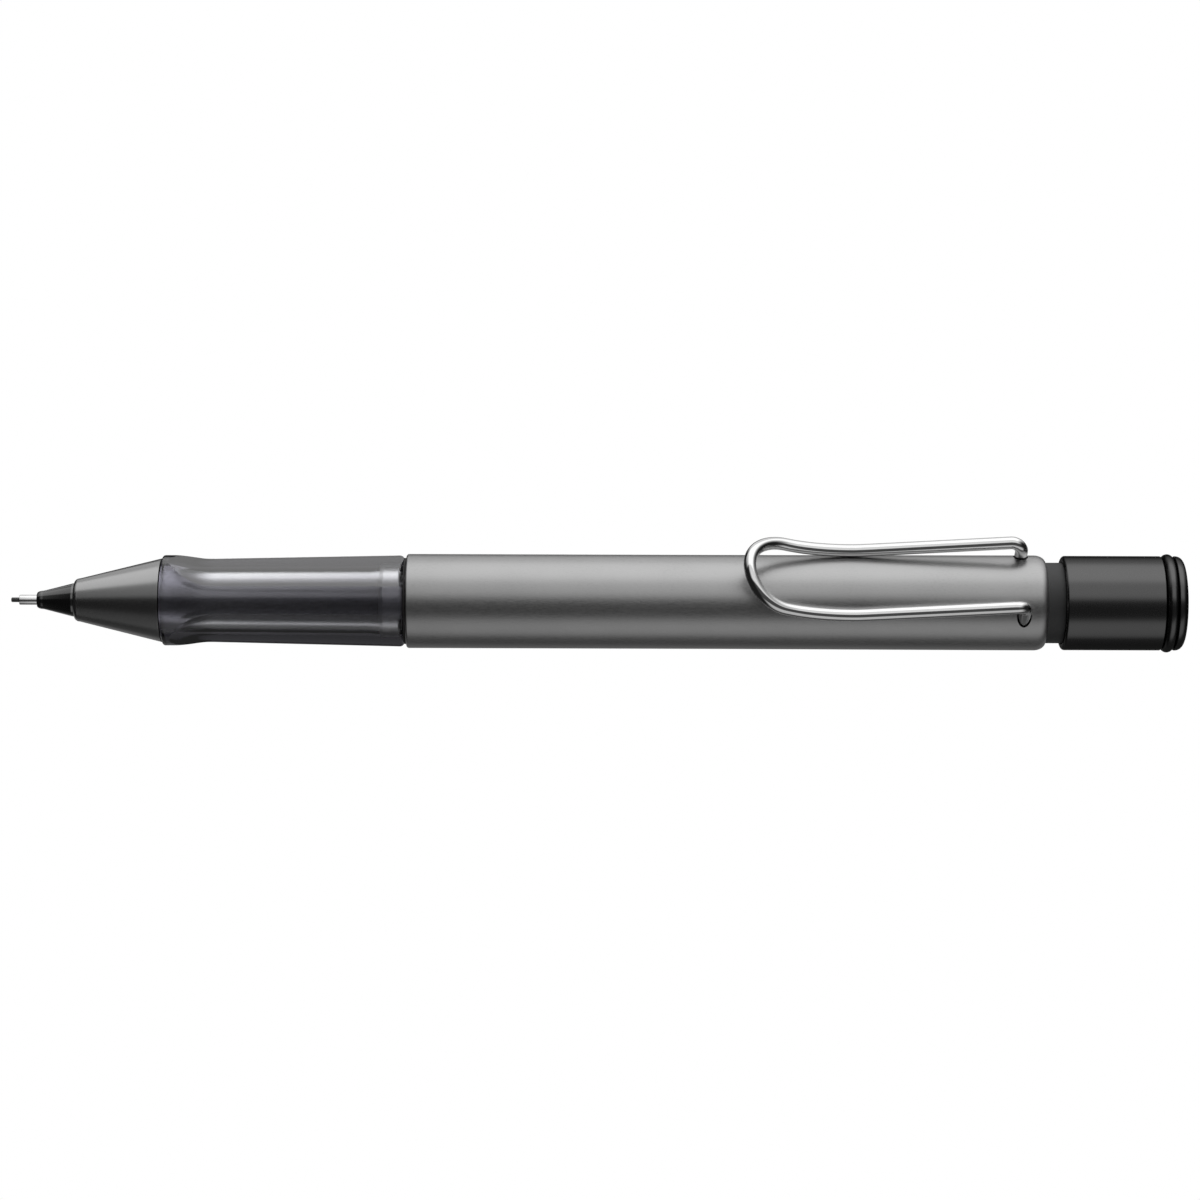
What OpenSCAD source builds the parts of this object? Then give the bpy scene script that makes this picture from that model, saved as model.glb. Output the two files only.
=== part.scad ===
// Push-button lead holder for thin leads: guide sleeve and nose, metal front cone, clear three-sided
// grip, tube barrel with a wire clip, spring clutch with three jaws, lead tube, eraser, push button.
// The axis of the holder is +X. The origin is the mouth of the guide sleeve, on the axis.
// The clip side is +Z.
// Units are millimetres. Lengths along the holder are stations, counted from the origin.

/* [Overall] */
// Station of the flat end of the push button
total_length = 139; // [138:0.5:142]
// Outer diameter of the straight front part of the barrel
barrel_d = 11.24; // [11.1:0.02:11.3]
// Outer diameter of the barrel at its rear end, to which it swells slightly
barrel_rear_d = 11.35; // [11.3:0.01:11.4]
// Station of the front end of the barrel
barrel_front = 46.3; // [46:0.1:47]
// Station of the rear end of the barrel
barrel_rear = 122.5; // [122.2:0.1:123.2]
// Station where the barrel starts to swell
swell_station = 84; // [80:1:90]
// Wall of the barrel at its front end
barrel_wall = 0.77; // [0.7:0.01:0.8]

/* [Point] */
// Diameter of the lead
lead_d = 0.56; // [0.5:0.01:0.58]
// Length of one stick of lead
lead_length = 60; // [45:1:64]
// Length of lead standing out of the guide sleeve at rest
lead_out = 0.98; // [0:0.02:1.6]
// Outer diameter of the guide sleeve
sleeve_d = 1.18; // [1.1:0.02:1.3]
// Station of the front face of the nose
nose_front = 2.13; // [1.8:0.01:2.6]
// Station of the front edge of the metal cone
cone_front = 6.6; // [6.4:0.05:6.8]
// Station of the rear face of the metal cone
cone_rear = 17.14; // [17:0.02:17.3]
// Radius of the metal cone at its rear face
cone_rear_r = 5.03; // [4.9:0.01:5.1]
// Radius of the metal cone just behind its front edge
cone_front_r = 2.58; // [2.5:0.01:2.7]

/* [Grip] */
// Radius of the collar at the front of the grip
grip_collar_r = 5.4; // [5.3:0.01:5.5]
// Radius of the rounded ridges at the waist
grip_waist_r = 5.06; // [4.9:0.01:5.1]
// Radius of the rounded ridges at the rear of the grip
grip_rear_r = 5.6; // [5.3:0.01:5.6]
// Distance from the axis to the flats at the waist
flat_front = 3.85; // [3.8:0.01:4]
// Distance from the axis to the flats at the rear of the grip
flat_rear = 4.14; // [4:0.01:4.3]
// Turn of the first ridge from the clip side towards -Y, in degrees
ridge_turn = 30; // [0:1:119]
// Radius of the metal liner inside the grip
liner_r = 3.55; // [3.4:0.01:3.55]

/* [Clip] */
// Diameter of the clip wire
wire_d = 1.5; // [1.3:0.05:1.6]
// Station of the two holes that take the ends of the wire
clip_station = 119.5; // [119.2:0.1:119.8]
// Length of the clip in front of the holes
clip_reach = 33.26; // [28:0.02:35]
// Distance of each wire from the middle plane
clip_half_width = 4.43; // [4.3:0.01:4.5]
// Distance of each wire end from the middle plane
hole_offset = 4.16; // [4.1:0.01:4.2]
// Height of the front loop over the place where the clip touches the barrel
loop_rise = 4.1; // [3:0.1:5]

/* [Push button] */
// Outer diameter of the push button
button_d = 11.27; // [11.1:0.01:11.5]
// Station of the front rim of the push button
button_front = 124.5; // [124.4:0.02:124.8]
// Diameter of the raised ring near the end of the push button
bead_d = 11.75; // [11.6:0.01:12]
// Diameter of the neck between the barrel and the push button
neck_d = 9.63; // [9.5:0.01:9.65]

/* [Clutch] */
// Travel of the push button
stroke = 1.6; // [1.2:0.1:1.6]
// Travel of the clutch ring
ring_travel = 0.6; // [0.4:0.05:0.6]
// Station of the front face of the jaws
jaw_front = 10.6; // [10.5:0.05:10.65]
// Station of the root of the jaws
jaw_root = 21.5; // [20:0.5:22]
// Number of active coils of the return spring
spring_turns = 9; // [7:1:11]
// Diameter of the spring wire
spring_wire_d = 0.3; // [0.2:0.02:0.32]

/* [Hidden] */

// Circles are drawn with this many segments
$fn = 96;
// Small gap that lets one piece slide in another
slip = 0.05;
// Overlap of a cutting shape with the space outside a piece
past = 1;

// Colours
black = [0.05, 0.05, 0.055];
dark_grey = [0.2, 0.2, 0.21];
graphite = [0.3, 0.3, 0.3];
anodised = [0.58, 0.58, 0.59];
steel = [0.76, 0.76, 0.77];
brass = [0.78, 0.62, 0.3];
smoke = [0.25, 0.27, 0.3, 0.55];
white = [0.93, 0.93, 0.91];

// Radii of the pieces in the point
lead_r = lead_d / 2;
sleeve_r = sleeve_d / 2;
sleeve_bore_r = lead_r + 0.03;
sleeve_shank_r = sleeve_r + 0.17;
sleeve_flange_r = 0.95;
sleeve_flange = 4.9;
sleeve_rear = 5.5;
nose_seat = 7.2;
nose_base_r = 1.99;
nose_shank_r = 1.6;
nose_rear = 8.8;
nose_face_r = sleeve_shank_r + 0.02;
retainer_r = 1.1;
retainer_rear = 7.6;
cone_lip = 0.6;
cone_lip_gap = 0.03;

// Clutch
head_r = 1.3;
head_neck_r = 1.0;
head_land = 0.5;
head_rear = jaw_front + 2.4;
head_slope = (head_r - head_neck_r) / (head_rear - jaw_front - head_land);
jaw_bore_r = lead_r + 0.01;
jaw_grip_rear = jaw_front + 2;
jaw_shank_r = 0.8;
jaw_slit = 0.14;
feed_bore_r = 0.4;
ring_gap = 0.015;
ring_front = jaw_front + 0.65;
ring_rear = jaw_front + 2.25;
ring_r = 1.75;
ring_chamber = ring_front - ring_travel - slip;
ring_chamber_r = ring_r + slip;
clutch_front = 12;
clutch_flange_r = 2.9;
clutch_flange_rear = 14.25;
clutch_r = 2.2;
clutch_rear = 27;
clutch_bore_r = 1.52;
web_front = ring_rear + slip;
web_rear = 13.3;
web_bore_r = 1.12;
spring_r = 1.2;
spring_steps = 16;
spring_front = web_rear + spring_wire_d / 2 + 0.01;

// Feed unit
connector_front = 24;
connector_r = clutch_bore_r - 0.04;
connector_collar = 29.1;
tube_front = 29.6;
connector_rear = 33;
shank_r = 0.95;
shank_rear = 27.5;
tube_r = 1.95;
tube_bore_r = connector_r;
tube_rear = 124;
holder_front = 121;
holder_rear = 133;
holder_r = 3.15;
holder_bore_r = 2.75;
holder_web_rear = 124.6;
holder_collar = 129.4;
holder_collar_r = 3.6;
skirt_floor = holder_collar + 0.8;
ferrule_r = 2.7;
ferrule_wall = 0.3;
ferrule_rear = 130.5;
eraser_rear = 134.2;
needle_front = 107;
needle_r = 0.22;
spare_front = 40;
spare_offset = 1.18;

// Grip and liner
grip_front = cone_rear + 0.06;
grip_rear = barrel_front - 0.3;
waist_start = 18.5;
waist_end = 22.5;
flat_start = 18.1;
flat_full = 23.4;
grip_corner = 0.6;
liner_front = clutch_flange_rear + slip;
liner_bore_r = clutch_r + slip;
liner_neck_r = clutch_flange_r;
liner_cone = 42;
liner_flange = 43.6;
liner_flange_rear = 45.5;
liner_flange_r = 3.86;
spigot_r = 3.3;
spigot_rear = 53;

// Barrel
barrel_r = barrel_d / 2;
barrel_rear_r = barrel_rear_d / 2;
barrel_bore_r = barrel_r - barrel_wall;
front_edge = 0.3;
rear_edge = 1.3;
edge_station = barrel_rear - rear_edge;
insert_rear = 54;
joint_ring_r = 5.15;
neck_r = neck_d / 2;
neck_front = 112;
neck_step = 120.9;
stop_gap = 1;
neck_rear = skirt_floor - stroke - stop_gap;
neck_bore_r = holder_r + 0.1;
pocket_half = 1.3;
pocket_floor = 0.6;
hole_r = wire_d / 2 + 0.125;

// Clip
wire_r = wire_d / 2;
wire_sides = 16;
touch_station = clip_station - 20;
swell_slope = (barrel_rear_r - barrel_r) / (edge_station - swell_station);
touch_barrel_r = barrel_r + swell_slope * (touch_station - swell_station);
touch_distance = touch_barrel_r + wire_r + 0.02;
touch_z = sqrt(touch_distance ^ 2 - clip_half_width ^ 2);
loop_front = clip_station - clip_reach + wire_r;
loop_run = touch_station - loop_front;
arm_slope = 0.107;
arm_blend = 0.8;
bend_r = 1.3;
bend_start = clip_station - bend_r;
leg_end = 1.4;

// Push button
button_r = button_d / 2;
skirt_edge = 0.4;
skirt_bore_r = neck_r + 0.085;
socket_rear = 134.8;
button_rear = total_length - 2.65;
bead_start = button_rear + 0.07;
bead_half = 0.7;
bead_r = bead_d / 2;
disc_front = total_length - 1.12;
disc_edge = 0.9;
stem_r = 4.2;

// ---- Shared shapes ----

// Points of an arc around [x, r]; angles in degrees from +x towards +r
function arc(x, r, size_x, size_r, from, to, steps = 8) = [
    for (i = [0:steps])
        let (a = from + (to - from) * i / steps)
        [x + size_x * cos(a), r + size_r * sin(a)]
];

// A number that goes smoothly from 0 to 1
function ease(t) = let (u = min(max(t, 0), 1)) u * u * (3 - 2 * u);

function unit(v) = v / norm(v);

// A body of revolution about the X axis from a closed outline of [station, radius]
module turned(outline) {
    rotate([0, 90, 0])
        rotate_extrude()
            polygon([for (p = outline) [p[1], p[0]]]);
}

// A plain rod along X
module rod(from, to, r) {
    translate([from, 0, 0])
        rotate([0, 90, 0])
            cylinder(h = to - from, r = r);
}

// A plain tube along X
module pipe(from, to, r, bore) {
    turned([[from, bore], [from, r], [to, r], [to, bore]]);
}

// Unit tangents along a list of points
function tangents(path) =
    let (last = len(path) - 1)
    [for (i = [0:last]) unit(path[min(i + 1, last)] - path[max(i - 1, 0)])];

// Normals carried along the path without twist
function carried(ts, first) = [
    for (i = 0, n = unit(first - (first * ts[0]) * ts[0]);
         i < len(ts);
         i = i + 1, n = i < len(ts) ? unit(n - (n * ts[i]) * ts[i]) : n) n
];

// A round wire of radius r along a path
module wire(path, r, sides, first) {
    ts = tangents(path);
    ns = carried(ts, first);
    count = len(path);
    points = [
        for (i = [0:count - 1])
            let (b = cross(ts[i], ns[i]))
            for (k = [0:sides - 1])
                let (a = 360 * k / sides)
                path[i] + r * (cos(a) * ns[i] + sin(a) * b)
    ];
    skin = [
        for (i = [0:count - 2])
            for (k = [0:sides - 1])
                let (a = i * sides + k, b = i * sides + (k + 1) % sides)
                for (f = [[a, a + sides, b + sides], [a, b + sides, b]]) f
    ];
    start = [for (k = [0:sides - 1]) k];
    end = [for (k = [0:sides - 1]) count * sides - 1 - k];
    polyhedron(points = points, faces = concat(skin, [start, end]), convexity = 10);
}

// ---- Point ----

module guide_sleeve() {
    mouth = 0.08;
    color(steel)
        turned([
            [0, sleeve_bore_r], [0, sleeve_r - mouth], [mouth, sleeve_r], [nose_front, sleeve_r],
            [nose_front, sleeve_shank_r], [sleeve_flange, sleeve_shank_r],
            [sleeve_flange, sleeve_flange_r], [sleeve_rear, sleeve_flange_r], [sleeve_rear, sleeve_bore_r]
        ]);
}

module nose_tip() {
    shoulder_r = 1.1;
    shoulder = nose_front + 0.77;
    color(black)
        turned(concat(
            [[nose_front, sleeve_shank_r]],
            arc(shoulder, nose_face_r, shoulder - nose_front, shoulder_r - nose_face_r, 180, 90),
            [
                [cone_front - 0.2, nose_base_r], [nose_seat, nose_base_r],
                [nose_seat, nose_shank_r], [nose_rear, nose_shank_r], [nose_rear, retainer_r],
                [sleeve_rear, retainer_r], [sleeve_rear, sleeve_flange_r],
                [sleeve_flange, sleeve_flange_r], [sleeve_flange, sleeve_shank_r]
            ]
        ));
}

module lead_retainer() {
    lead_in = 0.5;
    color(dark_grey)
        turned([
            [sleeve_rear, lead_r + 0.005], [sleeve_rear, retainer_r], [retainer_rear, retainer_r],
            [retainer_rear, lead_r + lead_in], [retainer_rear - lead_in, lead_r + 0.005]
        ]);
}

module front_cone() {
    opening_r = nose_base_r + cone_lip_gap;
    chamfer = 0.12;
    color(graphite)
        turned(concat(
            [[nose_seat, nose_shank_r], [nose_seat, opening_r]],
            arc(cone_front + cone_lip, opening_r, cone_lip, cone_front_r - opening_r, 180, 90),
            [
                [cone_rear - chamfer, cone_rear_r], [cone_rear, cone_rear_r - chamfer],
                [cone_rear, clutch_flange_r + slip], [clutch_front, clutch_flange_r + slip],
                [clutch_front, ring_chamber_r], [ring_chamber, ring_chamber_r],
                [ring_chamber, nose_shank_r]
            ]
        ));
}

// ---- Grip ----

// Radius of the ridges along the grip
function ridge_r(x) =
    x < waist_end
        ? grip_collar_r
            - (grip_collar_r - grip_waist_r) * ease((x - waist_start) / (waist_end - waist_start))
        : grip_waist_r + (grip_rear_r - grip_waist_r) * (x - waist_end) / (grip_rear - waist_end);

// Distance of the flats from the axis where they run out towards the collar
function run_out(t) = grip_collar_r - (grip_collar_r - flat_front) * sin(90 * t ^ 0.72) ^ 2;

module grip_blank() {
    front_round = 0.25;
    steps = 12;
    turned(concat(
        [[grip_front, liner_r + slip]],
        arc(grip_front + front_round, grip_collar_r - front_round, front_round, front_round, 180, 90, 4),
        [for (i = [0:steps]) let (x = waist_start + (waist_end - waist_start) * i / steps) [x, ridge_r(x)]],
        [
            for (i = [1:steps])
                let (x = waist_end + (grip_rear - grip_corner - waist_end) * i / steps)
                [x, ridge_r(x)]
        ],
        arc(grip_rear - grip_corner, grip_rear_r - grip_corner, grip_corner, grip_corner, 80, 0, 5),
        [
            [grip_rear, liner_flange_r + slip], [liner_flange, liner_flange_r + slip],
            [liner_cone, liner_r + slip]
        ]
    ));
}

// The material outside one flat; it starts at the collar and ends past the rear of the grip
module flat_cutter() {
    steps = 12;
    reach = grip_collar_r + past;
    slope = (flat_rear - flat_front) / (grip_rear - flat_full);
    rotate([90, 0, 0])
        linear_extrude(height = 4 * grip_collar_r, center = true)
            polygon(concat(
                [[flat_start, reach]],
                [
                    for (i = [0:steps])
                        let (t = i / steps)
                        [flat_start + (flat_full - flat_start) * t, run_out(t)]
                ],
                [
                    [grip_rear + past, flat_rear + slope * past],
                    [grip_rear + past, reach]
                ]
            ));
}

module grip() {
    color(smoke)
        difference() {
            grip_blank();
            for (side = [0:2])
                rotate([ridge_turn + 60 + 120 * side, 0, 0])
                    flat_cutter();
        }
}

module grip_liner() {
    color(steel)
        turned([
            [liner_front, liner_bore_r], [liner_front, liner_neck_r], [grip_front, liner_neck_r],
            [grip_front, liner_r], [liner_cone, liner_r],
            [liner_flange, liner_flange_r], [liner_flange_rear, liner_flange_r],
            [liner_flange_rear, spigot_r], [spigot_rear, spigot_r], [spigot_rear, liner_bore_r]
        ]);
}

module joint_ring() {
    color(black)
        pipe(grip_rear, barrel_front, joint_ring_r, spigot_r + slip);
}

// ---- Barrel ----

// Places one shape at each side of the middle plane
module both_sides() {
    for (side = [-1, 1])
        translate([clip_station, side * hole_offset, 0])
            children();
}

module barrel() {
    hole_floor = 1;
    color(anodised)
        difference() {
            turned(concat(
                [[barrel_front, barrel_bore_r]],
                arc(barrel_front + front_edge, barrel_r - front_edge, front_edge, front_edge, 180, 90, 6),
                [[swell_station, barrel_r]],
                arc(edge_station, barrel_bore_r, rear_edge, barrel_rear_r - barrel_bore_r, 90, 0, 8)
            ));
            both_sides()
                translate([0, 0, hole_floor])
                    cylinder(h = barrel_rear_r, r = hole_r);
        }
}

module barrel_insert() {
    color(brass)
        pipe(barrel_front + front_edge, insert_rear, barrel_bore_r, spigot_r + slip);
}

module neck_bush() {
    chamfer = 0.3;
    color(dark_grey)
        difference() {
            turned([
                [neck_front, neck_bore_r], [neck_front, barrel_bore_r], [neck_step, barrel_bore_r],
                [neck_step, neck_r], [neck_rear - chamfer, neck_r], [neck_rear, neck_r - chamfer],
                [neck_rear, neck_bore_r]
            ]);
            both_sides()
                translate([-pocket_half, -wire_r - slip, pocket_floor])
                    cube([2 * pocket_half, 2 * (wire_r + slip), barrel_r]);
        }
}

// ---- Clip ----

// Height of the clip wire over the axis at a station in front of the bend
function clip_z(x) =
    let (u = touch_station - x, v = max(-u, 0), t = max(u, 0) / loop_run)
    touch_z + loop_rise * (0.667 * t ^ 2 + 0.333 * t ^ 4) + arm_slope * v ^ 2 / (v + arm_blend);

// One half of the clip, from the middle of the front loop to the end of the leg
function clip_half() =
    let (
        loop_centre = loop_front + clip_half_width,
        loop_steps = 12,
        arm_steps = 16,
        bend_steps = 6,
        bend_z = clip_z(bend_start) - bend_r
    )
    concat(
        [
            for (i = [0:loop_steps])
                let (a = 90 * i / loop_steps, x = loop_centre - clip_half_width * cos(a))
                [x, clip_half_width * sin(a), clip_z(x)]
        ],
        [
            for (i = [1:arm_steps])
                let (x = loop_centre + (bend_start - loop_centre) * i / arm_steps)
                [x, clip_half_width, clip_z(x)]
        ],
        [
            for (i = [1:bend_steps])
                let (a = 90 * i / bend_steps, inward = (clip_half_width - hole_offset) * ease(a / 90))
                [bend_start + bend_r * sin(a), clip_half_width - inward, bend_z + bend_r * cos(a)]
        ],
        [[clip_station, hole_offset, leg_end]]
    );

module clip() {
    half = clip_half();
    last = len(half) - 1;
    path = concat(
        [for (i = [0:last]) let (p = half[last - i]) [p[0], -p[1], p[2]]],
        [for (i = [1:last]) half[i]]
    );
    color(steel)
        wire(path, wire_r, wire_sides, [1, 0, 0]);
}

// ---- Clutch ----

// One third of the collet, cut from the whole turned collet
module jaw(turn) {
    wedge = 3 * head_r;
    inset = jaw_slit / 2 / sin(60);
    color(brass)
        intersection() {
            turned([
                [jaw_front, jaw_bore_r], [jaw_front, head_r], [jaw_front + head_land, head_r],
                [head_rear, head_neck_r], [head_rear, jaw_shank_r], [jaw_root, jaw_shank_r],
                [jaw_root, feed_bore_r], [jaw_grip_rear, feed_bore_r], [jaw_grip_rear, jaw_bore_r]
            ]);
            rotate([turn, 0, 0])
                translate([0, 0, inset])
                    rotate([90, 0, 90])
                        linear_extrude(height = jaw_root + past)
                            polygon([[0, 0], [wedge * sin(60), wedge * cos(60)], [0, 2 * wedge],
                                     [-wedge * sin(60), wedge * cos(60)]]);
        }
}

module chuck_jaw_1() {
    jaw(0);
}

module chuck_jaw_2() {
    jaw(120);
}

module chuck_jaw_3() {
    jaw(240);
}

module chuck_shank() {
    color(brass)
        pipe(jaw_root, shank_rear, shank_r, feed_bore_r);
}

module clutch_ring() {
    taper_start = jaw_front + head_land;
    edge = 0.1;
    color(brass)
        turned([
            [ring_front, head_r - head_slope * (ring_front - taper_start) + ring_gap],
            [ring_front, ring_r - edge], [ring_front + edge, ring_r],
            [ring_rear - edge, ring_r], [ring_rear, ring_r - edge],
            [ring_rear, head_r - head_slope * (ring_rear - taper_start) + ring_gap]
        ]);
}

module clutch_sleeve() {
    color(white)
        turned([
            [clutch_front, ring_chamber_r], [clutch_front, clutch_flange_r],
            [clutch_flange_rear, clutch_flange_r], [clutch_flange_rear, clutch_r],
            [clutch_rear, clutch_r], [clutch_rear, clutch_bore_r], [web_rear, clutch_bore_r],
            [web_rear, web_bore_r], [web_front, web_bore_r], [web_front, ring_chamber_r]
        ]);
}

module return_spring() {
    ground = 1.25;
    length = connector_front - spring_wire_d / 2 - 0.01 - spring_front;
    turns = spring_turns + 2 * ground;
    steps = turns * spring_steps;
    active = length - 2 * ground * spring_wire_d * 1.05;
    color(steel)
        wire(
            [
                for (i = [0:steps])
                    let (
                        turn = i / spring_steps,
                        closed = min(turn, ground) + max(turn - ground - spring_turns, 0),
                        open = min(max(turn - ground, 0), spring_turns)
                    )
                    [
                        spring_front + closed * spring_wire_d * 1.05 + open * active / spring_turns,
                        spring_r * cos(360 * turn),
                        spring_r * sin(360 * turn)
                    ]
            ],
            spring_wire_d / 2, 8, [1, 0, 0]
        );
}

// ---- Feed unit ----

module chuck_connector() {
    funnel = 2;
    color(white)
        turned([
            [connector_front, shank_r], [connector_front, connector_r],
            [connector_collar, connector_r], [connector_collar, tube_r], [tube_front, tube_r],
            [tube_front, connector_r], [connector_rear, connector_r],
            [connector_rear, connector_r - 0.2], [connector_rear - funnel, feed_bore_r],
            [shank_rear, feed_bore_r], [shank_rear, shank_r]
        ]);
}

module lead_tube() {
    color(white)
        pipe(tube_front, tube_rear, tube_r, tube_bore_r);
}

module spare_leads() {
    color(black)
        for (turn = [-40, 0, 40])
            rotate([turn, 0, 0])
                translate([0, 0, -spare_offset])
                    rod(spare_front, spare_front + lead_length, lead_r);
}

module lead() {
    point = 0.1;
    color(black)
        turned([
            [-lead_out, 0], [-lead_out, lead_r - point], [point - lead_out, lead_r],
            [lead_length - lead_out, lead_r], [lead_length - lead_out, 0]
        ]);
}

module eraser_holder() {
    refill_r = 1.2;
    front_r = tube_r + 0.6;
    taper = 1.5;
    color(white)
        turned([
            [holder_front, tube_r], [holder_front, front_r], [holder_front + taper, holder_r],
            [holder_collar, holder_r], [holder_collar, holder_collar_r],
            [skirt_floor, holder_collar_r], [skirt_floor, holder_r], [holder_rear, holder_r],
            [holder_rear, holder_bore_r], [holder_web_rear, holder_bore_r],
            [holder_web_rear, refill_r], [tube_rear, refill_r], [tube_rear, tube_r]
        ]);
}

module eraser_ferrule() {
    floor_front = holder_web_rear + slip;
    color(steel)
        turned([
            [floor_front, needle_r], [floor_front, ferrule_r], [ferrule_rear, ferrule_r],
            [ferrule_rear, ferrule_r - ferrule_wall],
            [floor_front + ferrule_wall, ferrule_r - ferrule_wall],
            [floor_front + ferrule_wall, needle_r]
        ]);
}

module eraser() {
    edge = 0.25;
    front = holder_web_rear + slip + ferrule_wall;
    r = ferrule_r - ferrule_wall;
    color(white)
        turned(concat(
            [[front, 0], [front, r]],
            arc(eraser_rear - edge, r - edge, edge, edge, 90, 0, 5),
            [[eraser_rear, 0]]
        ));
}

module clearing_needle() {
    color(steel)
        rod(needle_front, holder_web_rear + slip + ferrule_wall, needle_r);
}

// ---- Push button and neck ----

module button() {
    edge = 0.12;
    color(black)
        turned(concat(
            [[button_front, skirt_bore_r]],
            arc(button_front + skirt_edge, button_r - skirt_edge, skirt_edge, skirt_edge, 180, 90, 6),
            [
                [button_rear - edge, button_r], [button_rear, button_r - edge],
                [button_rear, stem_r], [socket_rear, stem_r], [socket_rear, holder_r + slip],
                [skirt_floor, holder_r + slip], [skirt_floor, skirt_bore_r]
            ]
        ));
}

module button_ring() {
    color(black)
        turned(concat(
            [[bead_start, stem_r]],
            arc(bead_start + bead_half, bead_r - bead_half, bead_half, bead_half, 180, 0, 12),
            [[bead_start + 2 * bead_half, stem_r]]
        ));
}

module button_plug() {
    edge = 0.12;
    color(black)
        turned(concat(
            [
                [socket_rear, 0], [socket_rear, stem_r], [disc_front, stem_r],
                [disc_front, button_r - edge], [disc_front + edge, button_r]
            ],
            arc(total_length - disc_edge, button_r - disc_edge, disc_edge, disc_edge, 90, 0, 8),
            [[total_length, 0]]
        ));
}

guide_sleeve();
nose_tip();
lead_retainer();
front_cone();
grip();
grip_liner();
joint_ring();
barrel();
barrel_insert();
neck_bush();
clutch_sleeve();
return_spring();
clip();
lead_tube();
chuck_connector();
chuck_shank();
eraser_holder();
eraser_ferrule();
eraser();
clearing_needle();
spare_leads();
chuck_jaw_1();
chuck_jaw_2();
chuck_jaw_3();
clutch_ring();
lead();
button();
button_ring();
button_plug();
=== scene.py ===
"""Looks of the push-button lead holder: smooth turned pieces, a clear three-sided grip, a bright wire clip,
procedural materials, studio light and a camera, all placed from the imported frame."""
import math

import bmesh
import bpy
from mathutils import Euler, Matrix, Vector


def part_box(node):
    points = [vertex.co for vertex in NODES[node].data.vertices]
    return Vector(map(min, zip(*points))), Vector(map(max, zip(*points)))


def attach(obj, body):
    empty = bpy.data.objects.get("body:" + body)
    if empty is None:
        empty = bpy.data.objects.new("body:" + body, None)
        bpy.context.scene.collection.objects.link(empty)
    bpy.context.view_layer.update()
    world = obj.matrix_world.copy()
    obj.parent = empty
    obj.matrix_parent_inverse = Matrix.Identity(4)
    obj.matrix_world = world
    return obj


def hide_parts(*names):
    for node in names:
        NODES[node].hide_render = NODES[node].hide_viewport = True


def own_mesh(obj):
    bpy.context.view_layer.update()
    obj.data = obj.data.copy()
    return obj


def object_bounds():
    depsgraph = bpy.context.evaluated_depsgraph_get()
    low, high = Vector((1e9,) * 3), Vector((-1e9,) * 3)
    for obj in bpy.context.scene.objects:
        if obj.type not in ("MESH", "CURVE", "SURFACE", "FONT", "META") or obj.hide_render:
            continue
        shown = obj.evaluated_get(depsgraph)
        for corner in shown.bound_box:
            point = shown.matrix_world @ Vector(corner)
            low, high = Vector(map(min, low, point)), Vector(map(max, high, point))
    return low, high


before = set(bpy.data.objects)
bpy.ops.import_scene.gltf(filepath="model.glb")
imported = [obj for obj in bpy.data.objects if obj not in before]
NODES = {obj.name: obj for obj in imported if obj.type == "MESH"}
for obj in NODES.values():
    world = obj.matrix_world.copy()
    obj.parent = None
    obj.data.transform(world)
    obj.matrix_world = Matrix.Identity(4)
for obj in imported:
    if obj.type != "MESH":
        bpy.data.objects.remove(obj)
cad_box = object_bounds()

MM = 0.001
SEGMENTS = 192  # round a turned piece
DOUBLED = 1e-7  # points closer than this, in metres, are one point
NEARLY_STRAIGHT = math.pi - 0.02  # a corner of an outline that is this flat gets no fillet
SHARP = math.radians(32)  # edges that bend more than this stay crisp
RIDGE_TURN = math.radians(30)  # of the grip's first ridge from +Z towards -Y
THIRD = math.radians(120)  # from one ridge of the grip to the next


# ---------------------------------------------------------------- sizes from the frame


def span(node):
    """First and last station of a CAD node along X, in mm."""
    low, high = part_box(node)
    return low.x / MM, high.x / MM


def outer(node):
    """Largest radius of a CAD node about X, in mm."""
    return max(math.hypot(v.co.y, v.co.z) for v in NODES[node].data.vertices) / MM


def bore(node):
    """Smallest radius of a CAD node about X, in mm."""
    return min(math.hypot(v.co.y, v.co.z) for v in NODES[node].data.vertices) / MM


# ---------------------------------------------------------------- mesh helpers


def arc(x, r, size_x, size_r, start, end, steps=8):
    """Points of an elliptical arc round [x, r]; angles in degrees from +X towards +r."""
    turn = [math.radians(start + (end - start) * i / steps) for i in range(steps + 1)]
    return [(x + size_x * math.cos(a), r + size_r * math.sin(a)) for a in turn]


def filleted(outline, steps=5):
    """A closed outline of (x, r, fillet radius) corners, as points with each corner rounded."""
    points = []
    count = len(outline)
    for i, (x, r, radius) in enumerate(outline):
        here = Vector((x, r))
        before = (Vector(outline[i - 1][:2]) - here).normalized()
        after = (Vector(outline[(i + 1) % count][:2]) - here).normalized()
        angle = before.angle(after)
        if radius <= 0 or angle > NEARLY_STRAIGHT:
            points.append((x, r))
            continue
        reach = radius / math.tan(angle / 2)
        middle = here + (before + after).normalized() * radius / math.sin(angle / 2)
        start = here + before * reach - middle
        end = here + after * reach - middle
        for step in range(steps + 1):
            t = step / steps
            spoke = (start * (1 - t) + end * t).normalized() * radius
            points.append(tuple(middle + spoke))
    return points


def new_piece(name, vertices, faces, material, body, node):
    """A smooth mesh piece in mm coordinates, riding on a body and standing for a CAD node."""
    mesh = bpy.data.meshes.new(name)
    mesh.from_pydata([Vector(v) * MM for v in vertices], [], faces)
    mesh.validate()
    mesh.materials.append(material)
    piece = bpy.data.objects.new(name, mesh)
    bpy.context.scene.collection.objects.link(piece)
    finish_mesh(piece)
    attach(piece, body)
    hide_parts(node)
    return piece


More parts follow.
